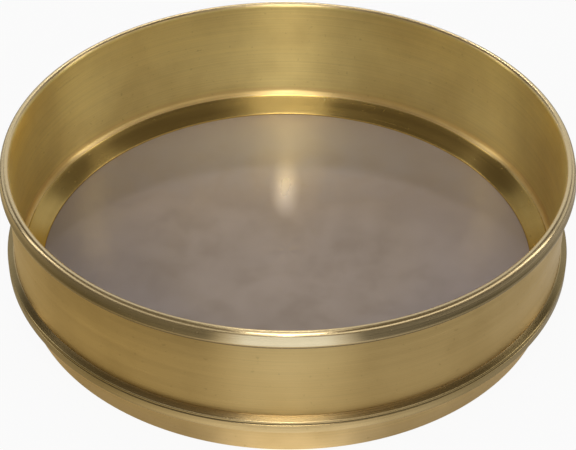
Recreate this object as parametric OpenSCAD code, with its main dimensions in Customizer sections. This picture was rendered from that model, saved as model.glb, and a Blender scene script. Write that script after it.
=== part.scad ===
// Round brass test sieve, 203 mm across the bore.
// One spun frame runs from the hemmed rim down to the foot. Below the cloth's level it steps in
// to a skirt, which is a sliding fit in the bore, so that sieves of one size stack on each other.
// A turned collar sleeves the step from outside and rests on the rim of the sieve below.
// Inside the skirt, a sloping ring holds the edge of the wire cloth, and solder seals it from below.
// Every ring is a profile turned about the Z axis. The foot of the skirt stands on z = 0.

/* [Frame] */
// Inner diameter of the frame, the nominal size of the sieve
bore_d = 203.2; // [150:0.1:310]
// Thickness of the frame's sheet
sheet_t = 1.3; // [0.8:0.1:1.6]
// Depth from the top of the rim down to the cloth
depth = 49.2; // [30:0.1:80]

/* [Rim] */
// Height of the sheet that is folded over at the top of the frame
hem_h = 6.2; // [5:0.1:10]
// Air gap inside the fold
hem_gap = 0.7; // [0.4:0.1:1.4]
// Slit between the tucked-in edge of the fold and the wall
hem_slit = 0.2; // [0.1:0.05:0.3]
// How far the fold's outer leg leans out at its lower end
hem_lean = 0.7; // [0:0.05:1]

/* [Step] */
// Clearance on the radius between the skirt and the bore of the sieve below
nest_gap = 0.3; // [0.1:0.05:0.6]
// Radius of the two bends of the step, in the middle of the sheet
bend_r = 2; // [1.5:0.1:2.2]
// Height of the collar's underside above the lower end of the step
step_drop = 0.5; // [0.1:0.1:0.6]

/* [Skirt] */
// Height of the skirt, from its foot to the underside of the collar
skirt_h = 13.5; // [12.5:0.1:20]
// Height of the tapered lead-in at the foot
lead_h = 6.5; // [3:0.1:7]
// How far the lead-in draws in at the foot
lead_in = 1.3; // [0:0.1:2]
// Rounding of the foot's outer edge
foot_round = 0.35; // [0.1:0.05:0.5]

/* [Collar] */
// Width of the collar's shoulder, from the wall outwards
shoulder_w = 2.7; // [2:0.1:5]
// Height of the collar where it meets the wall
collar_h = 5.7; // [5.3:0.1:9]
// Fall of the shoulder from the wall to its outer edge
shoulder_fall = 0.8; // [0.3:0.1:1.2]
// Rounding of the shoulder's outer edge
shoulder_round = 0.7; // [0.3:0.1:1.2]
// Radius of the fine groove that is turned round the collar
groove_r = 0.45; // [0.2:0.05:0.6]
// Height of that groove above the underside of the collar
groove_z = 3.7; // [2:0.1:3.9]
// Rounding of the collar's lower edge
collar_edge = 0.4; // [0.1:0.1:0.8]

/* [Cloth ring] */
// Width of the ledge between the bore and the open cloth
ledge_w = 8.4; // [6.5:0.1:12]
// Height of the step's lower end above the ring's outer edge
ring_drop = 0.2; // [0.1:0.1:1]
// Height of the ring's inner lip above the cloth
lip_h = 0.65; // [0.5:0.05:1.2]
// Width and height of the bevel that breaks the lip's edge
lip_bevel = 0.25; // [0.1:0.05:0.4]
// Width of the ring's flat land on the cloth, which also sets how thick the ring is
land_w = 2.4; // [1.2:0.1:3.5]

/* [Wire cloth] */
// Height of the top of the cloth above the foot
cloth_z = 7.2; // [6.6:0.1:8.5]
// Thickness of the cloth without its ribs
cloth_t = 0.3; // [0.2:0.05:0.5]
// Distance between the edge of the cloth and the skirt
cloth_margin = 1.4; // [0.5:0.1:2]
// Distance from rib to rib, where each rib stands for a band of fine wires
rib_pitch = 3; // [2:0.1:8]
// Width of a rib
rib_w = 1.5; // [0.6:0.1:1.8]
// Height of a rib: they lie along X on top, and along Y underneath
rib_h = 0.12; // [0.05:0.01:0.2]
// Bare border between the ribs and what holds the cloth
rib_border = 0.4; // [0.2:0.1:2]

/* [Solder] */
// Radius of the hollow solder fillet under the cloth
solder_r = 2.8; // [1.5:0.1:3]
// Thickness of the solder at the two edges of the fillet
solder_edge = 0.2; // [0.1:0.05:0.4]

/* [Fit] */
// Clearance on the radius between rings that are pushed together before soldering
fit_gap = 0.05; // [0:0.01:0.15]

/* [Hidden] */
$fn = 96;

BRASS = [0.74, 0.62, 0.38];
BRASS_DARK = [0.66, 0.55, 0.31];
CLOTH_GREY = [0.49, 0.44, 0.39];
TIN = [0.62, 0.62, 0.60];

// Radii, from the middle outwards
bore_r = bore_d / 2;
lip_r = bore_r - ledge_w;
land_r = lip_r + land_w;
skirt_r = bore_r - nest_gap;
skirt_in_r = skirt_r - sheet_t;
cloth_r = skirt_in_r - cloth_margin;
wall_r = bore_r + sheet_t;
socket_r = wall_r + fit_gap;
collar_r = wall_r + shoulder_w;
hem_w = 2 * sheet_t + hem_gap;

// Heights, from the foot upwards
cloth_low = cloth_z - cloth_t;
step_low = skirt_h - step_drop;
collar_top = skirt_h + collar_h;
height = cloth_z + depth;

// The fold of the rim: the centres of its round top and of its round lower end
hem_high = [bore_r + hem_w / 2, height - hem_w / 2];
hem_low = [hem_high.x + hem_lean, height - hem_h + hem_w / 2];

// The step: two bends of one radius, the upper one round a centre inside the frame
bend_a = acos(1 - (bore_r - skirt_in_r) / (2 * bend_r));
step_top = step_low + 2 * bend_r * sin(bend_a);
bend_in = [bore_r + sheet_t / 2 - bend_r, step_top];
bend_out = [skirt_r - sheet_t / 2 + bend_r, step_low];

// The chamfer in the collar's bore, which lies against the upper bend halfway round it
seat_a = bend_a / 2;
seat = bend_in + (bend_r + sheet_t / 2 + fit_gap) * [cos(seat_a), -sin(seat_a)];
seat_low = [seat.x - (seat.y - skirt_h) * tan(seat_a), skirt_h];
seat_high = [socket_r, seat.y + (socket_r - seat.x) / tan(seat_a)];

// The point where the line from p touches the circle round c
function turn_to(c, r, p, side) =
    let (d = p - c, a = atan2(d.y, d.x) + side * acos(r / norm(d)))
    c + r * [cos(a), sin(a)];

// The shoulder: a line from the wall to the round outer edge of the collar
shoulder_c = [collar_r - shoulder_round, collar_top - shoulder_fall - shoulder_round];
shoulder_t = turn_to(shoulder_c, shoulder_round, [socket_r, collar_top], -1);

// The ledge: a slope from the ring's outer edge down to its lip, with the ring's underside parallel to it
ring_r = skirt_in_r - fit_gap;
ring_top = step_low - ring_drop;
lip_z = cloth_z + lip_h;
slope = (ring_top - lip_z) / (ring_r - lip_r - lip_bevel);
under_z = cloth_z + (skirt_in_r - land_r) * slope;

// A slot shape with round ends, from one centre to another
module slot(from, to, width) {
    run = to - from;
    translate(from) rotate(atan2(run.y, run.x)) {
        translate([0, -width / 2]) square([norm(run), width]);
        circle(d = width);
        translate([norm(run), 0]) circle(d = width);
    }
}

// Everything inside one face of the sheet, which bends round both centres on its way down
module within_face(wall, skirt, in_r, out_r, foot) {
    translate([0, step_top]) square([wall, height - step_top - hem_w / 2]);
    translate(bend_in) circle(r = in_r);
    difference() {
        translate([0, step_low]) square([bend_in.x + in_r * cos(bend_a), step_top - step_low]);
        translate(bend_out) circle(r = out_r);
    }
    polygon(concat([[0, 0]], foot, [[skirt, lead_h], [skirt, step_low], [0, step_low]]));
}

module frame_profile() {
    foot_x = skirt_r - lead_in;
    foot_in_x = skirt_in_r - lead_in;
    difference() {
        within_face(wall_r, skirt_r, bend_r + sheet_t / 2, bend_r - sheet_t / 2,
            [[foot_x - foot_round, 0], [foot_x, foot_round]]);
        within_face(bore_r, skirt_in_r, bend_r - sheet_t / 2, bend_r + sheet_t / 2, [[foot_in_x, 0]]);
    }
    translate([foot_x - foot_round, foot_round]) circle(r = foot_round);
    difference() {
        slot(hem_high, hem_low, hem_w);
        slot(hem_high, hem_low, hem_gap);
        polygon([[wall_r, hem_high.y], hem_high, hem_low, hem_low - [0, hem_gap / 2],
            [wall_r, hem_low.y - hem_gap / 2]]);
        translate([wall_r, height - hem_h - 1]) square([hem_slit, sheet_t + hem_gap / 2 + 1]);
    }
}

module collar_profile() {
    difference() {
        union() {
            polygon([seat_low, [collar_r - collar_edge, skirt_h], [collar_r, skirt_h + collar_edge],
                [collar_r, shoulder_c.y], shoulder_c, shoulder_t, [socket_r, collar_top], seat_high]);
            translate([collar_r - collar_edge, skirt_h + collar_edge]) circle(r = collar_edge);
            translate(shoulder_c) circle(r = shoulder_round);
        }
        translate([collar_r + groove_r / 3, skirt_h + groove_z]) circle(r = groove_r);
    }
}

module ring_profile() {
    polygon([[lip_r, cloth_z], [lip_r, lip_z - lip_bevel], [lip_r + lip_bevel, lip_z], [ring_r, ring_top],
        [ring_r, under_z - fit_gap * slope], [land_r, cloth_z]]);
}

module cloth_profile() {
    translate([0, cloth_low]) square([cloth_r, cloth_t]);
}

module solder_profile() {
    fillet_w = solder_r + solder_edge;
    fillet_z = cloth_low - fillet_w;
    difference() {
        polygon([[land_r, cloth_z], [skirt_in_r, under_z], [skirt_in_r, lead_h],
            [skirt_in_r - (lead_h - fillet_z) * lead_in / lead_h, fillet_z],
            [skirt_in_r - fillet_w, fillet_z], [skirt_in_r - fillet_w, cloth_low], [land_r, cloth_low]]);
        cloth_profile();
        translate([skirt_in_r - fillet_w, fillet_z]) circle(r = solder_r);
    }
}

// Ribs side by side along X, cut to a round patch
module ribs(patch_r) {
    n = floor(patch_r / rib_pitch);
    intersection() {
        circle(r = patch_r);
        for (i = [-n : n]) translate([-patch_r, i * rib_pitch - rib_w / 2]) square([2 * patch_r, rib_w]);
    }
}

module frame_shell() {
    color(BRASS) rotate_extrude() frame_profile();
}

module collar_ring() {
    color(BRASS) rotate_extrude() collar_profile();
}

module cloth_ring() {
    color(BRASS_DARK) rotate_extrude() ring_profile();
}

module wire_cloth() {
    color(CLOTH_GREY) {
        rotate_extrude() cloth_profile();
        translate([0, 0, cloth_z - cloth_t / 2])
            linear_extrude(cloth_t / 2 + rib_h) ribs(lip_r - rib_border);
        translate([0, 0, cloth_low - rib_h])
            linear_extrude(cloth_t / 2 + rib_h) rotate(90) ribs(skirt_in_r - solder_r - solder_edge - rib_border);
    }
}

module solder_seam() {
    color(TIN) rotate_extrude() solder_profile();
}

frame_shell();
collar_ring();
cloth_ring();
wire_cloth();
solder_seam();
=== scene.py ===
# %% [markdown]
# # A brass test sieve
# A test sieve is a laboratory tool: a spun brass frame with a floor of fine woven wire. Powder is
# shaken through a stack of them, each one standing in the bore of the next. This lesson dresses the
# sieve's solids with turned meshes, brushed brass and woven wire, and lights them like a piece of
# metal ware in a small studio. Lengths with names in capitals are in millimetres in the cells that
# make the pieces or mask their parts, and in metres in the others, unless the name says otherwise.

# %% Bring in the solids
import math

import bpy
from mathutils import Matrix, Vector


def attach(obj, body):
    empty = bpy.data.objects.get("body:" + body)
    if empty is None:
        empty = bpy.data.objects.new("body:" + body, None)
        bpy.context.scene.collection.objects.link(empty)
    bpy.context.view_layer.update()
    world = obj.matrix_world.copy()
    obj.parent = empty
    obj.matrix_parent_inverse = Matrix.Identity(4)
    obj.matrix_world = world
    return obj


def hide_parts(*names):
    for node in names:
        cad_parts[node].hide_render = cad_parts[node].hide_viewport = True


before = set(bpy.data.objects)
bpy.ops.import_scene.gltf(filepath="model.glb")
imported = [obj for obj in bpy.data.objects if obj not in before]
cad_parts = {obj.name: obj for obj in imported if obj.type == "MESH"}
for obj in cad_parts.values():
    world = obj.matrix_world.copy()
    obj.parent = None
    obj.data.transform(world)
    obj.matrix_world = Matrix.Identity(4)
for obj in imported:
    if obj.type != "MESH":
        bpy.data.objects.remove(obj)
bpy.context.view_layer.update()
MM = 0.001
print("solids:", sorted(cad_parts))

# %% [markdown]
# ## The camera
# The sieve is looked into from about 38 degrees above the bench and two thirds of a metre away, and
# a long lens fills the frame with it from there. The camera is made first, so that every piece can
# be judged through it while it is being made. It is built from its three axes instead of Euler
# angles: forward from the compass turn and the tilt, then right and up, turned by a small roll.

# %% Place the camera
IMAGE_W = 576
FOCAL_PIXELS = 1688
SENSOR_MM = 36
CAMERA_PLACE = Vector((0.0, -507.7, 412.3)) * MM
TURN, TILT, ROLL = math.radians(0.026), math.radians(37.73), math.radians(0.406)

ahead = math.cos(TILT)
forward = Vector((math.sin(TURN) * ahead, math.cos(TURN) * ahead, -math.sin(TILT)))
level_right = forward.cross(Vector((0, 0, 1))).normalized()
level_up = level_right.cross(forward)
right = level_right * math.cos(ROLL) + level_up * math.sin(ROLL)
up = level_up * math.cos(ROLL) - level_right * math.sin(ROLL)

camera_data = bpy.data.cameras.new("camera")
camera_data.sensor_fit = "HORIZONTAL"
camera_data.sensor_width = SENSOR_MM
camera_data.lens = FOCAL_PIXELS * SENSOR_MM / IMAGE_W
camera_data.dof.use_dof = False
camera_data.clip_end = 20
camera = bpy.data.objects.new("camera", camera_data)
axes = Matrix((right, up, -forward)).transposed().to_4x4()
camera.matrix_world = Matrix.Translation(CAMERA_PLACE) @ axes
bpy.context.scene.collection.objects.link(camera)
bpy.context.scene.camera = camera
bpy.context.scene.view_settings.view_transform = "Standard"
print("lens in mm:", round(camera_data.lens, 1))

# %% [markdown]
# ## A lathe for rings
# Every ring on the sieve is spun or turned about the upright axis, so one helper makes them all.
# It takes an outline of radius and height in millimetres and carries it round. A Screw modifier
# could do the same, but a mesh made point by point has its faces at once, so that its crisp edges
# can be marked right away. Two small helpers add arcs and divided straight lines to an outline.

# %% The lathe and its arcs
ROUND_STEPS = 320
SAME_POINT = 0.004


def arc(centre, radius, start, end, steps=10):
    """Points of an arc from one direction to another, in degrees."""
    turns = [math.radians(start + (end - start) * i / steps) for i in range(steps + 1)]
    return [(centre[0] + radius * math.cos(t), centre[1] + radius * math.sin(t)) for t in turns]


def line(start, end, pieces):
    """Points of a straight line without its first point, in equal pieces."""
    along, up = end[0] - start[0], end[1] - start[1]
    steps = range(1, pieces + 1)
    return [(start[0] + along * i / pieces, start[1] + up * i / pieces) for i in steps]


def into_scene(name, mesh, crisp):
    """An object of the mesh, smooth apart from the edges that bend more than crisp degrees."""
    mesh.shade_smooth()
    mesh.set_sharp_from_angle(angle=math.radians(crisp))
    piece = bpy.data.objects.new(name, mesh)
    bpy.context.scene.collection.objects.link(piece)
    print(name, "faces:", len(mesh.polygons))
    return piece


def turned(name, outline, crisp=32):
    """A closed outline of (radius, height) in millimetres, carried round the upright axis."""
    points = [p for i, p in enumerate(outline) if math.dist(p, outline[i - 1]) > SAME_POINT]
    count = len(points)
    turns = [2 * math.pi * s / ROUND_STEPS for s in range(ROUND_STEPS)]
    corners = [(r * MM * math.cos(t), r * MM * math.sin(t), z * MM)
               for t in turns for r, z in points]
    faces = []
    for s in range(ROUND_STEPS):
        here, there = s * count, (s + 1) % ROUND_STEPS * count
        for i in range(count):
            j = (i + 1) % count
            faces.append((here + i, there + i, there + j, here + j))
    mesh = bpy.data.meshes.new(name)
    mesh.from_pydata(corners, [], faces)
    mesh.update()
    if sum(points[i - 1][0] * p[1] - p[0] * points[i - 1][1] for i, p in enumerate(points)) < 0:
        mesh.flip_normals()
    return into_scene(name, mesh, crisp)


sag = 100 * (1 - math.cos(math.pi / ROUND_STEPS))
print("steps round:", ROUND_STEPS, "and their sag in mm on a radius of 100 mm:", round(sag, 4))

# %% [markdown]
# ## The frame
# The frame is one brass sheet, spun on a former: a hemmed rim folded out and down, a straight wall,
# a step inwards, and the skirt. The outline goes down the inside, round the foot, up the outside
# and into the hem. The hem's hollow is part of the same outline, so that the fold is a real fold.
# Its outer leg leans out a little, as a hem does that was closed over a thin gap. Outside, the step
# has its two bends. Inside, where the eye follows it round the bowl, it is one flowing curve that
# leaves the wall gently and turns further inwards on its way down, because two arcs would show as
# two hard bands of light.

# %% Spin the frame
BORE, WALL = 101.6, 102.9
SKIRT_IN, SKIRT = 100.0, 101.3
STEP_LOW, STEP_TOP, BEND = 13.0, 16.2, 2.0
STEP_POINTS, STEP_EASE = 14, 2.8
SHEET = 1.3
LEAD, DRAW_IN = 6.5, 1.3
FOOT_ROUND, FOOT_IN_ROUND, FOOT_IN_LOW = 0.35, 0.15, 0.12
HEIGHT, HEM_H, HEM_GAP, HEM_LEAN = 56.4, 6.2, 0.7, 0.7
HEM_SLIT, HEM_CORNER = 0.2, 0.15
HEM = 2 * SHEET + HEM_GAP
HEM_TILT = math.degrees(math.atan2(HEM_LEAN, HEM_H - HEM))
TURN_IN = math.degrees(math.acos(1 - (BORE - SKIRT_IN) / (2 * BEND)))
HALF = SHEET / 2


def inner_step():
    """The flowing curve of the step's inner face, from the wall down to the skirt."""
    run, fall = BORE - SKIRT_IN, STEP_TOP - STEP_LOW
    downs = [i / STEP_POINTS for i in range(1, STEP_POINTS + 1)]
    return [(BORE - run * t ** STEP_EASE, STEP_TOP - fall * t) for t in downs]


def frame_outline():
    inner_bend = (WALL - HALF - BEND, STEP_TOP)
    outer_bend = (SKIRT_IN + HALF + BEND, STEP_LOW)
    fold_top = (BORE + HEM / 2, HEIGHT - HEM / 2)
    fold_low = (fold_top[0] + HEM_LEAN, HEIGHT - HEM_H + HEM / 2)
    tuck_x, tuck_z = WALL + HEM_SLIT, fold_low[1] - HEM_GAP / 2
    tuck_turn = -math.degrees(math.acos((tuck_x - fold_low[0]) / (HEM / 2)))
    foot_x, foot_in_x = SKIRT - DRAW_IN, SKIRT_IN - DRAW_IN
    # down the inside
    points = [(BORE, fold_top[1])] + line((BORE, fold_top[1]), (BORE, STEP_TOP), 24)
    points += inner_step() + line((SKIRT_IN, STEP_LOW), (SKIRT_IN, LEAD), 4)
    points += line((SKIRT_IN, LEAD), (foot_in_x, FOOT_IN_LOW), 4)
    # round the foot and up the outside
    points += arc((foot_in_x + FOOT_IN_ROUND, FOOT_IN_ROUND), FOOT_IN_ROUND, 180, 270, 4)
    points += arc((foot_x - FOOT_ROUND, FOOT_ROUND), FOOT_ROUND, 270, 360, 6)
    points += line((foot_x, FOOT_ROUND), (SKIRT, LEAD), 4)
    points += line((SKIRT, LEAD), (SKIRT, STEP_LOW), 4)
    points += arc(outer_bend, BEND - HALF, 180, 180 - TURN_IN)
    points += arc(inner_bend, BEND + HALF, -TURN_IN, 0)
    points += line((WALL, STEP_TOP), (WALL, tuck_z), 22)
    # up inside the fold, over, and down its leaning leg, then round the tucked edge
    points += [(WALL, fold_top[1])] + arc(fold_top, HEM_GAP / 2, 180, HEM_TILT, 8)
    points += arc(fold_low, HEM_GAP / 2, HEM_TILT, -90, 6)
    points += [(tuck_x + HEM_CORNER, tuck_z), (tuck_x, tuck_z - HEM_CORNER)]
    points += arc(fold_low, HEM / 2, tuck_turn, HEM_TILT, 16)
    points += arc(fold_top, HEM / 2, HEM_TILT, 180, 28)
    return points


frame_piece = turned("spun_frame", frame_outline())

# %% [markdown]
# ## The collar
# The collar is a turned ring that sits over the step. Its shoulder falls away slightly to a rounded
# edge, and a fine groove runs round its face. Its bore is chamfered to lie against the bend of the
# frame. A boolean could cut the groove, but as part of the outline it costs only a few points.

# %% Turn the collar
COLLAR, COLLAR_LOW, COLLAR_TOP = 105.6, 13.5, 19.2
COLLAR_BORE = WALL + 0.05
SEAT_LOW, SEAT_HIGH = (101.95, COLLAR_LOW), (COLLAR_BORE, 15.56)
COLLAR_EDGE = 0.4
TOP_EDGE = ((0, 0.08), (0.1, 0.03))  # how far out and how far down, where the bore's edge is broken
SHOULDER_ROUND, SHOULDER_FALL = 0.7, 0.8
GROOVE_Z, GROOVE_R, BELOW_GROOVE = 17.2, 0.45, 0.6
SHOULDER_SLOPE = math.degrees(math.atan2(SHOULDER_FALL, COLLAR - SHOULDER_ROUND - COLLAR_BORE))


def collar_outline():
    shoulder = (COLLAR - SHOULDER_ROUND, COLLAR_TOP - SHOULDER_FALL - SHOULDER_ROUND)
    points = [SEAT_HIGH] + [(COLLAR_BORE + out, COLLAR_TOP - down) for out, down in TOP_EDGE]
    points += arc(shoulder, SHOULDER_ROUND, 90 - SHOULDER_SLOPE, 0, 10)
    groove = (COLLAR + GROOVE_R / 3, GROOVE_Z)
    half = math.degrees(math.asin(1 / 3))
    points += arc(groove, GROOVE_R, 90 + half, 270 - half, 8)
    under_groove = (COLLAR, GROOVE_Z - BELOW_GROOVE)
    points += [under_groove] + line(under_groove, (COLLAR, COLLAR_LOW + COLLAR_EDGE), 4)
    points += arc((COLLAR - COLLAR_EDGE, COLLAR_LOW + COLLAR_EDGE), COLLAR_EDGE, 0, -90, 6)
    points += [SEAT_LOW]
    return points


collar_piece = turned("turned_collar", collar_outline(), crisp=40)

# %% [markdown]
# ## The cloth ring
# Inside the skirt a conical ring bears on the edge of the cloth. From above it is the sloping ledge
# between wall and cloth. Its lip is rounded, so that it catches a thin line of light, and its outer
# edge turns up a little against the wall, which hides the gap between the two.

# %% Turn the cloth ring
LIP, LIP_TOP, CLOTH_TOP = 93.2, 7.85, 7.2
LIP_ROUND, LIP_DROP, LIP_END = 0.45, 0.414, 127.3
RING_R, RING_TOP, RING_LOW, LAND_R = 99.95, 12.8, 10.55, 95.6
LEDGE_END = (RING_R - 0.55, RING_TOP - 0.34)
TURNED_UP = ((-0.2, -0.06), (0.03, 0.17), (0, -0.3))  # out and up from the ring's outer edge


def cloth_ring_outline():
    points = arc((LIP + LIP_ROUND, LIP_TOP - LIP_DROP), LIP_ROUND, 180, LIP_END, 6)
    points += line(points[-1], LEDGE_END, 10)
    points += [(RING_R + out, RING_TOP + up) for out, up in TURNED_UP]
    points += [(RING_R, RING_LOW), (LAND_R, CLOTH_TOP), (LIP, CLOTH_TOP)]
    return points


ledge_piece = turned("cloth_ledge", cloth_ring_outline())

# %% [markdown]
# ## The wire cloth
# The cloth is woven of very fine wire and soldered in under tension. From a step away it is a
# smooth grey-brown sheet. It is never quite flat: heat from the soldering leaves shallow swells and
# small puckers near the ledge. Modelling each wire would take millions of faces, so the sheet is a
# polar grid with the swells and the puckers in its points, and the weave goes into its material.

# %% Stretch the cloth
CLOTH_EDGE, CLOTH_LOW = 98.6, 6.9
CLOTH_RINGS, CLOTH_STEPS = 64, 288
PUCKERS = ((23, 0.9, 0.5), (37, 2.1, 0.35), (61, 4.0, 0.2))
PUCKER_R, PUCKER_REACH, PUCKER_H = 84, 12, 0.05
SWELL_H, SWELL_LENGTH, SWELL_TURN, SWELL_TWIST = 0.06, 17, 0.7, 40


def cloth_height(radius, turn):
    """How far the cloth lies off its flat plane, in millimetres."""
    near_ledge = max(0.0, 1 - abs(radius - PUCKER_R) / PUCKER_REACH)
    free = max(0.0, 1 - (radius / LIP) ** 4)
    pucker = sum(size * math.sin(lobes * turn + phase) for lobes, phase, size in PUCKERS)
    swell = math.sin(radius / SWELL_LENGTH + 2 * math.sin(turn + SWELL_TURN))
    swell *= math.cos(3 * turn + radius / SWELL_TWIST)
    return free * (PUCKER_H * pucker * near_ledge + SWELL_H * swell)


def cloth_face(level):
    """The middle point of one side of the cloth, then its rings of points outwards, in metres."""
    points = [(0, 0, (level + cloth_height(0, 0)) * MM)]
    for k in range(1, CLOTH_RINGS + 1):
        r = CLOTH_EDGE * (k / CLOTH_RINGS)
        for s in range(CLOTH_STEPS):
            t = 2 * math.pi * s / CLOTH_STEPS
            z = level + cloth_height(r, t)
            points.append((r * MM * math.cos(t), r * MM * math.sin(t), z * MM))
    return points


def cloth_sheet(name):
    corners, faces = [], []
    for level, side in ((CLOTH_TOP, 1), (CLOTH_LOW, -1)):
        first = len(corners)
        corners += cloth_face(level)
        for s in range(CLOTH_STEPS):
            a, b = first + 1 + s, first + 1 + (s + 1) % CLOTH_STEPS
            faces.append((first, a, b)[::side])
            for k in range(CLOTH_RINGS - 1):
                low, high = k * CLOTH_STEPS, (k + 1) * CLOTH_STEPS
                faces.append((a + low, a + high, b + high, b + low)[::side])
    top_edge = 1 + (CLOTH_RINGS - 1) * CLOTH_STEPS
    low_edge = 2 + (2 * CLOTH_RINGS - 1) * CLOTH_STEPS
    for s in range(CLOTH_STEPS):
        n = (s + 1) % CLOTH_STEPS
        faces.append((top_edge + s, low_edge + s, low_edge + n, top_edge + n))
    mesh = bpy.data.meshes.new(name)
    mesh.from_pydata(corners, [], faces)
    mesh.update()
    return into_scene(name, mesh, crisp=40)


cloth_piece = cloth_sheet("woven_cloth")

# %% [markdown]
# ## Helpers for materials
# A material is a chain of small sums. Wired by hand in the editor each step is one node and two
# links, and the chain soon fills the screen. These helpers write one step as one short line. All
# textures are sampled in the piece's own coordinates, so nothing swims when the piece is turned.

# %% Node helpers
def add_node(tree, kind, inputs=None, **settings):
    """One shader node, with its settings and its input values or links."""
    node = tree.nodes.new(kind)
    for key, value in settings.items():
        setattr(node, key, value)
    for key, value in (inputs or {}).items():
        if isinstance(value, bpy.types.NodeSocket):
            tree.links.new(value, node.inputs[key])
        else:
            node.inputs[key].default_value = value
    return node


def calc(tree, operation, first, second=0.0):
    return add_node(tree, "ShaderNodeMath", {0: first, 1: second}, operation=operation).outputs[0]


def plus(tree, first, second):
    return calc(tree, "ADD", first, second)


def times(tree, first, *others):
    for other in others:
        first = calc(tree, "MULTIPLY", first, other)
    return first


def vector_calc(tree, operation, inputs, output="Vector"):
    return add_node(tree, "ShaderNodeVectorMath", inputs, operation=operation).outputs[output]


def scaled(tree, vector, factor):
    return vector_calc(tree, "SCALE", {0: vector, "Scale": factor})


def length(tree, vector):
    return vector_calc(tree, "LENGTH", {0: vector}, "Value")


def flattened(tree, place):
    return vector_calc(tree, "MULTIPLY", {0: place, 1: (1, 1, 0)})


def own_place(tree):
    """The point on the piece in its own coordinates, and its three parts."""
    place = add_node(tree, "ShaderNodeTexCoord").outputs["Object"]
    parts = add_node(tree, "ShaderNodeSeparateXYZ", {0: place}).outputs
    return place, parts["X"], parts["Y"], parts["Z"]


def noise(tree, place, scale, detail):
    inputs = {"Vector": place, "Scale": scale, "Detail": detail}
    return add_node(tree, "ShaderNodeTexNoise", inputs).outputs["Fac"]


def fade(tree, value, low, high, start=0.0, end=1.0):
    """Carries a value from one range to another, and holds it there."""
    ends = {"Value": value, "From Min": low, "From Max": high, "To Min": start, "To Max": end}
    return add_node(tree, "ShaderNodeMapRange", ends).outputs["Result"]


def blend_colours(tree, amount, first, second):
    node = add_node(tree, "ShaderNodeMix", {"Factor": amount}, data_type="RGBA", blend_type="MIX")
    for socket, colour in ((node.inputs[6], first), (node.inputs[7], second)):
        if isinstance(colour, bpy.types.NodeSocket):
            tree.links.new(colour, socket)
        else:
            socket.default_value = (*colour, 1)
    return node.outputs[2]


def new_material(name):
    material = bpy.data.materials.new(name)
    material.use_nodes = True
    tree = material.node_tree
    return material, tree, tree.nodes["Principled BSDF"]


def set_bump(tree, shader, strength, distance, height):
    inputs = {"Strength": strength, "Distance": distance, "Height": height}
    tree.links.new(add_node(tree, "ShaderNodeBump", inputs).outputs[0], shader.inputs["Normal"])


# %% [markdown]
# ## Scratches round the axis
# Spun brass is finished on the lathe with fine abrasive, so its scratches all run round the axis.
# The streaks come from noise that is sampled by direction round the axis, radius and height: with
# four coordinates there is no seam where the turn starts again. A stretched picture would do for a
# flat sheet, but on a ring it would need an unwrap, and would blur close up.

# %% Draw the streaks
FINE, BROAD = (1.6, 5200), (0.9, 420)  # how often a streak changes round, and how fine it is across


def round_the_axis(tree):
    """The place, the direction round the axis as a vector, radius and height in metres."""
    place, _, _, height = own_place(tree)
    flat = flattened(tree, place)
    way = vector_calc(tree, "NORMALIZE", {0: flat})
    return place, way, length(tree, flat), height


def streaks(tree, way, radius, height, along, across):
    """Noise drawn out round the axis, from how often it changes along and how fine it is across."""
    stacked = add_node(tree, "ShaderNodeCombineXYZ", {"Z": times(tree, height, across)}).outputs[0]
    point = vector_calc(tree, "ADD", {0: scaled(tree, way, along), 1: stacked})
    inputs = {"Vector": point, "W": times(tree, radius, across), "Scale": 1.0, "Detail": 3.0}
    return add_node(tree, "ShaderNodeTexNoise", inputs, noise_dimensions="4D").outputs["Fac"]


print("finest streaks in mm:", round(1 / FINE[1] / MM, 2))

# %% [markdown]
# ## The parts of the brass, told apart by radius and height
# A used frame isn't the same colour all over. The inner wall is brighter and yellower than the
# outer wall. The fold of the rim was polished by the roller that closed it, and its colour is
# paler, a painted highlight. Painted shade lies under the fold and in the collar's groove, and
# the fold's leg and the collar carry painted dark reflections at the sides. A mask is 1 on one of
# these parts and 0 elsewhere. Vertex colours could carry the same masks, but only as finely as the
# mesh.

# %% Mask the parts
PARTS = {  # each border: what is measured, where the mask is 0 and where it is 1, in millimetres
    "inner_wall": (("radius", 102.0, 101.7), ("height", 14.4, 16.4)),
    "outer_wall": (("radius", 102.3, 102.7), ("height", 15, 16), ("height", 50.4, 50)),
    "fold": (("radius", 101.9, 102.3), ("height", 50.0, 50.3)),
    "fold_leg": (("radius", 101.9, 102.3), ("height", 50.0, 50.3), ("height", 54.6, 53.0)),
    "under_fold": (("radius", 101.9, 102.3), ("height", 50.0, 50.3), ("height", 52.1, 51.3)),
    "collar": (("radius", 103.2, 103.6), ("height", 22, 20)),
    "groove": (("radius", 105.0, 105.1), ("radius", 105.56, 105.42),
               ("height", 16.65, 16.9), ("height", 17.75, 17.5)),
    "skirt": (("height", 13.5, 13.2),),
}


def ramp(tree, value, zero, one, top=1.0):
    """0 on the far side of zero and top on the far side of one, both in millimetres."""
    if zero < one:
        return fade(tree, value, zero * MM, one * MM, 0, top)
    return fade(tree, value, one * MM, zero * MM, top, 0)


def part_mask(tree, part, radius, height):
    """1 on the named part of the brass and 0 elsewhere, with soft borders."""
    measured = {"radius": radius, "height": height}
    return times(tree, *(ramp(tree, measured[what], zero, one) for what, zero, one in PARTS[part]))


def left_and_right(tree, way):
    """1 at the left and right of the sieve, where dark reflections are painted, and 0 in front and
    behind.
    """
    sideways = add_node(tree, "ShaderNodeSeparateXYZ", {0: way}).outputs["X"]
    return fade(tree, calc(tree, "ABSOLUTE", sideways), 0.22, 0.60)


print("parts of the brass:", list(PARTS))
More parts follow.
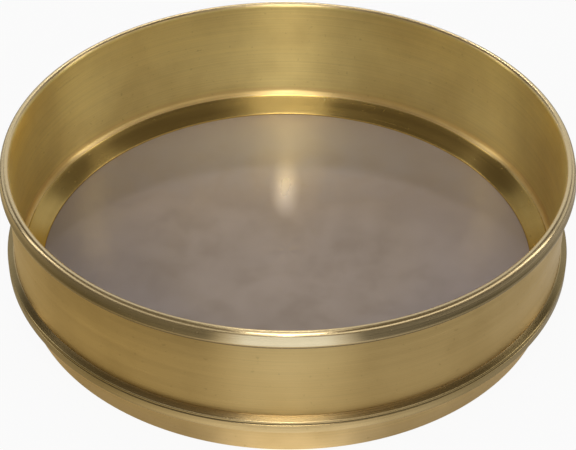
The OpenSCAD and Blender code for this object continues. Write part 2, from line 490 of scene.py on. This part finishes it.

# %% [markdown]
# ## Brass that was brushed round
# Three things make the brushed look: long thin streaks in roughness and a little in colour, a bump
# from the same streaks, and an anisotropic shine that spreads across the scratches. The tangent
# runs round the axis, so that the shine follows every ring. Over the clean colour lie the darker
# outer wall and the brighter inner wall, then patches of tarnish, the fold's painted highlight,
# painted dark reflections at the sides, painted shade under the fold and in the groove, and last
# small dark spots. One function makes all three brasses, since they differ only in numbers.

# %% Brush the brass
INNER_WALL_COLOUR, FOLD_HIGHLIGHT_PAINT = (0.93, 0.785, 0.325), (0.88, 0.72, 0.44)
SIDE_REFLECTION_PAINT, SHADE_PAINT_COLOUR = (0.24, 0.18, 0.07), (0.13, 0.09, 0.035)
OUTER_WALL_DARKENING, SPOT_SHADE = 0.72, 0.55
CLOUDS, SPECKS = (34, 5), (620, 3)  # scale and detail of the noise
SCRATCH_DEPTH = 0.012 * MM


def brass_colour(tree, on, way, colour, dull, aged, spots, skirt_colour):
    """The clean colour with wear, painted highlight and shade on top. on gives a part's mask by
    name.
    """
    # the outer wall darker than the clean colour
    outer_wall_colour = [c * OUTER_WALL_DARKENING for c in colour]
    worn = blend_colours(tree, times(tree, on("outer_wall"), 0.8), colour, outer_wall_colour)
    if skirt_colour:
        worn = blend_colours(tree, on("skirt"), worn, skirt_colour)
    # the inner wall brighter and yellower
    worn = blend_colours(tree, on("inner_wall"), worn, INNER_WALL_COLOUR)
    worn = blend_colours(tree, aged, worn, dull)
    # a paler tint on the fold, a painted highlight
    worn = blend_colours(tree, times(tree, on("fold"), 0.8), worn, FOLD_HIGHLIGHT_PAINT)
    # painted dark reflections on the fold's leg and the collar, at the left and right
    side_reflection_parts = calc(tree, "MAXIMUM", on("fold_leg"), on("collar"))
    worn = blend_colours(tree, times(tree, side_reflection_parts, left_and_right(tree, way), 0.7), worn, SIDE_REFLECTION_PAINT)
    # painted shade under the fold and in the collar's groove
    painted_shade = times(tree, on("under_fold"), 0.85)
    painted_shade = calc(tree, "MAXIMUM", painted_shade, times(tree, on("groove"), 0.8))
    worn = blend_colours(tree, painted_shade, worn, SHADE_PAINT_COLOUR)
    return blend_colours(tree, times(tree, spots, 0.6), worn, [c * SPOT_SHADE for c in dull])


def brushed_brass(name, colour, dull, roughness, shine_spread, tarnish=0.35, skirt_colour=None):
    """Brass with scratches round the axis, patches of tarnish and an anisotropic shine."""
    material, tree, shader = new_material(name)
    place, way, radius, height = round_the_axis(tree)
    fine, broad = (streaks(tree, way, radius, height, *grain) for grain in (FINE, BROAD))
    aged = times(tree, fade(tree, noise(tree, place, *CLOUDS), 0.42, 0.72), tarnish)
    spots = times(tree, fade(tree, noise(tree, place, *SPECKS), 0.66, 0.74), tarnish)

    def on(part):
        return part_mask(tree, part, radius, height)

    worn = brass_colour(tree, on, way, colour, dull, aged, spots, skirt_colour)
    lines = fade(tree, fine, 0.3, 0.7, 0.9, 1.06)
    tree.links.new(scaled(tree, worn, lines), shader.inputs["Base Color"])
    rough = fade(tree, fine, 0.3, 0.7, roughness * 0.85, roughness * 1.15)
    rough = plus(tree, rough, times(tree, plus(tree, aged, spots), 0.18))
    rough = plus(tree, rough, fade(tree, broad, 0.35, 0.65, -0.03, 0.03))
    rough = plus(tree, rough, times(tree, on("fold"), -0.12))
    tree.links.new(rough, shader.inputs["Roughness"])
    shader.inputs["Metallic"].default_value = 1
    shader.inputs["Anisotropic"].default_value = shine_spread
    shader.inputs["Anisotropic Rotation"].default_value = 0.25
    tangent = add_node(tree, "ShaderNodeTangent", direction_type="RADIAL", axis="Z").outputs[0]
    tree.links.new(tangent, shader.inputs["Tangent"])
    grain = plus(tree, times(tree, fine, 0.6), times(tree, broad, 0.9))
    set_bump(tree, shader, 0.5, SCRATCH_DEPTH, grain)
    print(name, "nodes:", len(tree.nodes))
    return material


spun_brass = brushed_brass("spun_brass", (0.84, 0.62, 0.27), (0.52, 0.36, 0.13), 0.34, 0.88,
                           skirt_colour=(0.88, 0.655, 0.32))
turned_brass = brushed_brass("turned_brass", (0.88, 0.69, 0.37), (0.50, 0.34, 0.12), 0.23, 0.8)
ledge_brass = brushed_brass("ledge_brass", (0.56, 0.395, 0.13), (0.42, 0.285, 0.085), 0.17, 0.3,
                            tarnish=0.5)

# %% [markdown]
# ## Woven wire
# A plain weave goes over one wire and under the next. Two sine waves at right angles give the
# wires, and their product lifts every second crossing. At arm's length only a soft sheen is left
# of it. The cloth is stained in clouds and is paler and greyer towards its edge. Painted light
# makes it paler towards the back, and painted shade darker in front and at the left. A small oval
# behind the middle was rubbed smooth by the brush, so it draws the glint of the lamp behind, and
# its colour is lightened there as a painted highlight.

# %% Weave the cloth's material
WIRE_PITCH = 0.35 * MM
WIRE_RELIEF = 0.05 * MM
GREY_BROWN, LIGHTER_BROWN = (0.51, 0.415, 0.355), (0.57, 0.465, 0.40)
STAIN, BACK_LIGHT_PAINT = (0.48, 0.385, 0.32), (0.86, 0.85, 0.93)
EDGE_GREY, GLINT_PAINT = (0.55, 0.50, 0.59), (0.92, 0.82, 0.76)
OVAL_SHIFT, OVAL_SCALE = (0.001, -0.041, 0), (190, 60, 0)


def weave_height(tree, x, y):
    """The height of the wires, from 0 in the openings to 1.5 on the highest crowns."""
    across, along = (calc(tree, "SINE", times(tree, way, math.pi / WIRE_PITCH)) for way in (x, y))
    crown = calc(tree, "MAXIMUM", calc(tree, "ABSOLUTE", across), calc(tree, "ABSOLUTE", along))
    return plus(tree, times(tree, across, along, 0.5), crown)


def woven_wire(name):
    material, tree, shader = new_material(name)
    place, x, y, _ = own_place(tree)
    weave = weave_height(tree, x, y)
    cloud, stain = noise(tree, place, 16, 6), noise(tree, place, 90, 4)
    from_middle = length(tree, flattened(tree, place))
    from_oval = vector_calc(tree, "ADD", {0: place, 1: OVAL_SHIFT})
    from_oval = length(tree, vector_calc(tree, "MULTIPLY", {0: from_oval, 1: OVAL_SCALE}))
    # the colour, from the broad clouds to the painted highlight on the small smooth spot
    tone = blend_colours(tree, fade(tree, cloud, 0.35, 0.65), GREY_BROWN, LIGHTER_BROWN)
    tone = blend_colours(tree, fade(tree, stain, 0.5, 0.75, 0, 0.5), tone, STAIN)
    # painted light: paler and bluer towards the back, with a ragged border
    ragged = plus(tree, y, fade(tree, stain, 0.3, 0.7, -9 * MM, 9 * MM))
    tone = blend_colours(tree, ramp(tree, ragged, 34, 74, 0.45), tone, BACK_LIGHT_PAINT)
    # paler and greyer towards the edge
    tone = blend_colours(tree, ramp(tree, from_middle, 45, 85, 0.6), tone, EDGE_GREY)
    # a painted highlight: the smooth oval is lightened
    tone = blend_colours(tree, fade(tree, from_oval, 0, 1.3, 0.75, 0), tone, GLINT_PAINT)
    # the dark of the openings, with painted shade deeper in front and at the left
    holes = fade(tree, weave, 0.35, 1.1, 0.75, 1.08)
    front_shade_paint = fade(tree, y, -95 * MM, 25 * MM, 0.74, 1)
    left_shade_paint = fade(tree, x, -85 * MM, -30 * MM, 0.72, 1)
    shade = scaled(tree, tone, times(tree, holes, front_shade_paint, left_shade_paint))
    tree.links.new(shade, shader.inputs["Base Color"])
    shader.inputs["Metallic"].default_value = 0.6
    smoother = fade(tree, from_oval, 0.0, 1.0, -0.16, 0)
    rough = plus(tree, fade(tree, stain, 0.3, 0.7, 0.34, 0.44), smoother)
    tree.links.new(rough, shader.inputs["Roughness"])
    set_bump(tree, shader, fade(tree, from_oval, 0.2, 1.2, 0.1, 0.35), WIRE_RELIEF, weave)
    print(name, "wires across the open cloth:", round(2 * LIP * MM / WIRE_PITCH))
    return material


cloth_wire = woven_wire("woven_wire")

# %% [markdown]
# ## Solder
# Soft solder runs into the corner under the cloth and sets dull, with a slightly lumpy, wiped skin.
# Its solid is already the right shape, so it keeps it and only gets a material.

# %% Melt the solder
LUMP_RELIEF = 0.2 * MM


def soft_solder(name):
    material, tree, shader = new_material(name)
    lumps = noise(tree, own_place(tree)[0], 150, 4)
    tone = blend_colours(tree, fade(tree, lumps, 0.35, 0.7), (0.52, 0.52, 0.50), (0.34, 0.32, 0.29))
    tree.links.new(tone, shader.inputs["Base Color"])
    shader.inputs["Metallic"].default_value = 0.9
    tree.links.new(fade(tree, lumps, 0.3, 0.7, 0.32, 0.55), shader.inputs["Roughness"])
    set_bump(tree, shader, 0.4, LUMP_RELIEF, lumps)
    print(name, "nodes:", len(tree.nodes))
    return material


solder_grey = soft_solder("soft_solder")

# %% [markdown]
# ## Put it together
# Each new piece takes the place of the solid it follows, rides on the sieve's one body, and gets
# its finish and the slot of the same name. The solder keeps its solid and gets only its finish.

# %% Dress the solids
DRESSING = (
    (frame_piece, "frame_shell", "spun_brass", spun_brass),
    (collar_piece, "collar_ring", "turned_brass", turned_brass),
    (ledge_piece, "cloth_ring", "ledge_brass", ledge_brass),
    (cloth_piece, "wire_cloth", "woven_wire", cloth_wire),
)
for piece, node, slot, material in DRESSING:
    piece.data.materials.append(material)
    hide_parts(node)
    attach(piece, "root")
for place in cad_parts["solder_seam"].material_slots:
    place.material = solder_grey
print("dressed:", [p.name for p, *_ in DRESSING])

# %% [markdown]
# ## What the eye sees and what the metal sees
# Polished metal shows its surroundings more than its own colour, so the studio is built for what
# the brass mirrors. The Light Path node tells the kinds of rays apart. With it the bench and the
# room are plain white to the eye and shaded in the metal, and don't flood the sieve with light.

# %% Tell the rays apart
def seen_directly(tree):
    """1 for rays from the camera, from mirrors and through glass, and 0 for the light itself."""
    path = add_node(tree, "ShaderNodeLightPath")
    seen = calc(tree, "MAXIMUM", path.outputs["Is Camera Ray"], path.outputs["Is Glossy Ray"])
    return calc(tree, "MAXIMUM", seen, path.outputs["Is Transmission Ray"])


def only_in_metal(tree):
    return add_node(tree, "ShaderNodeLightPath").outputs["Is Glossy Ray"]


# %% [markdown]
# ## The bench
# The bench is one plane, seen as plain white. In the metal it is fairly bright beside the sieve,
# where the walls mirror it, darker right at the foot and further out, where the folded rim looks,
# and bright along a lane in front. The lane gives the pale patches in the middle of the rim and of
# the skirt. A little of the plain paint is left in what the eye sees, for the sieve's shadow.

# %% Lay the bench
WHITE = (1, 1, 1, 1)
PAINT = (0.8, 0.79, 0.77, 1)
BENCH_HALF = 6
FAR_IN_METAL, NEAR_IN_METAL, LANE_IN_METAL, FOOT_IN_METAL = 0.07, 0.62, 1.25, 6.0
NEAR_ENDS, FOOT_ENDS, LANE_STARTS = (0.165, 0.215), (0.111, 0.122), (-0.09, -0.06)
WARM_LEFT, WARM_WHITE, LANE_BLUE = (0.92, 0.76, 0.44), (1, 0.94, 0.84), (0.76, 0.84, 1)
GLOW_SEEN, GLOW_MIRRORED = 0.93, 0.9


def bench_in_metal(tree):
    """How bright the bench is in the metal, and in which tint."""
    place, x, y, _ = own_place(tree)
    distance = length(tree, place)
    off_centre = calc(tree, "DIVIDE", calc(tree, "ABSOLUTE", x), distance)
    near = fade(tree, distance, *NEAR_ENDS, 1, 0)
    near = times(tree, near, fade(tree, distance, *FOOT_ENDS, 0.55, 1))
    lane = times(tree, fade(tree, off_centre, 0.20, 0.38, 1, 0), fade(tree, y, *LANE_STARTS, 1, 0))
    lane = times(tree, lane, fade(tree, distance, *NEAR_ENDS, 0.1, 1))
    foot = times(tree, lane, fade(tree, distance, *FOOT_ENDS, FOOT_IN_METAL, 0))
    foot = times(tree, foot, fade(tree, off_centre, 0.08, 0.28, 1, 0.1))
    bright = plus(tree, times(tree, near, NEAR_IN_METAL), plus(tree, foot, FAR_IN_METAL))
    bright = plus(tree, times(tree, lane, LANE_IN_METAL), bright)
    tint = blend_colours(tree, fade(tree, x, -0.12, 0.0), WARM_LEFT, WARM_WHITE)
    return bright, blend_colours(tree, lane, tint, LANE_BLUE)


def pale_bench():
    mesh = bpy.data.meshes.new("bench")
    side = BENCH_HALF
    corners = [(-side, -side, 0), (side, -side, 0), (side, side, 0), (-side, side, 0)]
    mesh.from_pydata(corners, [], [(0, 1, 2, 3)])
    bench = bpy.data.objects.new("bench", mesh)
    bpy.context.scene.collection.objects.link(bench)
    material, tree, paint = new_material("bench_paint")
    paint.inputs["Base Color"].default_value = PAINT
    paint.inputs["Roughness"].default_value = 0.9
    mirrored = only_in_metal(tree)
    bright, tint = bench_in_metal(tree)
    tint = blend_colours(tree, mirrored, WHITE[:3], tint)
    strength = add_node(tree, "ShaderNodeMix", {"Factor": mirrored, 2: 1.0, 3: bright}).outputs[0]
    glow = add_node(tree, "ShaderNodeEmission", {"Color": tint, "Strength": strength})
    share = times(tree, seen_directly(tree), fade(tree, mirrored, 0, 1, GLOW_SEEN, GLOW_MIRRORED))
    mix = add_node(tree, "ShaderNodeMixShader", {0: share, 1: paint.outputs[0], 2: glow.outputs[0]})
    tree.links.new(mix.outputs[0], tree.nodes["Material Output"].inputs["Surface"])
    mesh.materials.append(material)
    print("bench across:", 2 * side, "m")


pale_bench()

# %% [markdown]
# ## The room and the lamps
# The room is white to the eye and a soft grey in the metal. Two soft lamps overhead make the light
# patch on the shoulder and at the back of the ledge. A small lamp in front and one behind draw the
# glints, and a dim lamp on either side lifts the walls. All are soft boxes, placed by where they
# stand and what they point at. The lamps stay weak, so that no pale surface burns out.

# %% Light the room
ROOM_IN_METAL = 0.62
SKY_FILL, SKY_STRENGTH = (0.9, 0.95, 1, 1), 0.35
LAMP_WHITE = (1, 0.97, 0.92)
LAMPS = (  # name, place, aim, width, height, watts
    ("roof_lamp", (0.0, 0.03, 1.05), (0, 0.03, 0), 0.36, 0.66, 0.50),
    ("front_roof_lamp", (0.0, -0.52, 1.0), (0, -0.10, 0), 0.36, 0.26, 1.8),
    ("key_lamp", (0.0, -1.10, 0.80), (0, 0, 0.03), 0.08, 0.08, 0.9),
    ("rear_lamp", (-0.01, 0.945, 0.94), (0, 0.045, 0.007), 0.08, 0.08, 0.26),
    ("left_lamp", (-0.95, 0.20, 0.45), (0, 0, 0.04), 0.16, 0.6, 0.5),
    ("right_lamp", (0.95, 0.20, 0.45), (0, 0, 0.04), 0.16, 0.6, 0.7),
)


def studio_world():
    world = bpy.data.worlds.new("studio")
    bpy.context.scene.world = world
    world.use_nodes = True
    tree = world.node_tree
    backdrop = tree.nodes["Background"]
    backdrop.inputs["Color"].default_value = WHITE
    strength = fade(tree, only_in_metal(tree), 0, 1, 1.0, ROOM_IN_METAL)
    tree.links.new(strength, backdrop.inputs["Strength"])
    fill = add_node(tree, "ShaderNodeBackground", {"Color": SKY_FILL, "Strength": SKY_STRENGTH})
    sides = {0: seen_directly(tree), 1: fill.outputs[0], 2: backdrop.outputs[0]}
    mix = add_node(tree, "ShaderNodeMixShader", sides)
    tree.links.new(mix.outputs[0], tree.nodes["World Output"].inputs["Surface"])


def softbox(name, place, target, width, height, watts):
    lamp = bpy.data.lights.new(name, "AREA")
    lamp.shape = "RECTANGLE"
    lamp.size, lamp.size_y = width, height
    lamp.energy = watts
    lamp.color = LAMP_WHITE
    box = bpy.data.objects.new(name, lamp)
    box.location = place
    aim = (Vector(target) - Vector(place)).to_track_quat("-Z", "Y")
    box.rotation_euler = aim.to_euler()
    box.visible_camera = False
    bpy.context.scene.collection.objects.link(box)


studio_world()
for lamp in LAMPS:
    softbox(*lamp)
print("lamps in watts:", {name: watts for name, *_, watts in LAMPS})

# %% [markdown]
# ## A dark tent and pale paper
# Round metal needs something dark to mirror as well, or it looks flat. A dark tent hangs round the
# bench: the ledge, the shoulder and the rounded edges find their dark lines in it. Bands of pale
# paper hang inside the tent, where the inner wall looks. The sheets are parts of a dome, given by
# their turn from the front, their rise above the bench, and their distance. Only reflections see
# them, so they block no view and cast no shadow.

# %% Hang the tent and the paper
DARK, PAPER = (1, 0.85, 0.65), (1, 0.96, 0.9)
SHEET_GRID = 24
SHEETS = (  # name, turns and rises in degrees, distance in metres, colour, strength
    ("tent_front", (-112, 112), (0, 90), 1.8, DARK, 0.13),
    ("tent_roof", (112, 248), (50, 90), 1.8, DARK, 0.13),
    ("tent_right", (112, 160), (32, 50), 1.8, DARK, 0.10),
    ("tent_left", (200, 248), (32, 50), 1.8, DARK, 0.10),
    ("paper_left", (-110, 0), (26, 46), 1.6, PAPER, 0.75),
    ("paper_right", (0, 110), (26, 46), 1.6, PAPER, 1.12),
    ("paper_front", (-16, 16), (25, 48), 1.5, PAPER, 1.25),
)


def dome_corners(turns, rises, distance):
    corners = []
    for i in range(SHEET_GRID + 1):
        turn = math.radians(turns[0] + (turns[1] - turns[0]) * i / SHEET_GRID)
        for k in range(SHEET_GRID + 1):
            rise = math.radians(rises[0] + (rises[1] - rises[0]) * k / SHEET_GRID)
            flat, up = distance * math.cos(rise), distance * math.sin(rise)
            corners.append((flat * math.sin(turn), -flat * math.cos(turn), up))
    return corners


def hung_sheet(name, turns, rises, distance, colour, strength):
    """A sheet hung as part of a dome round the bench, which only the metal sees."""
    faces = []
    for i in range(SHEET_GRID):
        for k in range(SHEET_GRID):
            a, b = i * (SHEET_GRID + 1) + k, (i + 1) * (SHEET_GRID + 1) + k
            faces.append((a, b, b + 1, a + 1))
    mesh = bpy.data.meshes.new(name)
    mesh.from_pydata(dome_corners(turns, rises, distance), [], faces)
    sheet = bpy.data.objects.new(name, mesh)
    bpy.context.scene.collection.objects.link(sheet)
    material, tree, _ = new_material(name)
    glow = add_node(tree, "ShaderNodeEmission", {"Color": (*colour, 1), "Strength": strength})
    tree.links.new(glow.outputs[0], tree.nodes["Material Output"].inputs["Surface"])
    mesh.materials.append(material)
    sheet.visible_camera = False
    sheet.visible_diffuse = False
    sheet.visible_shadow = False


for sheet in SHEETS:
    hung_sheet(*sheet)
print("sheets:", [name for name, *_ in SHEETS])
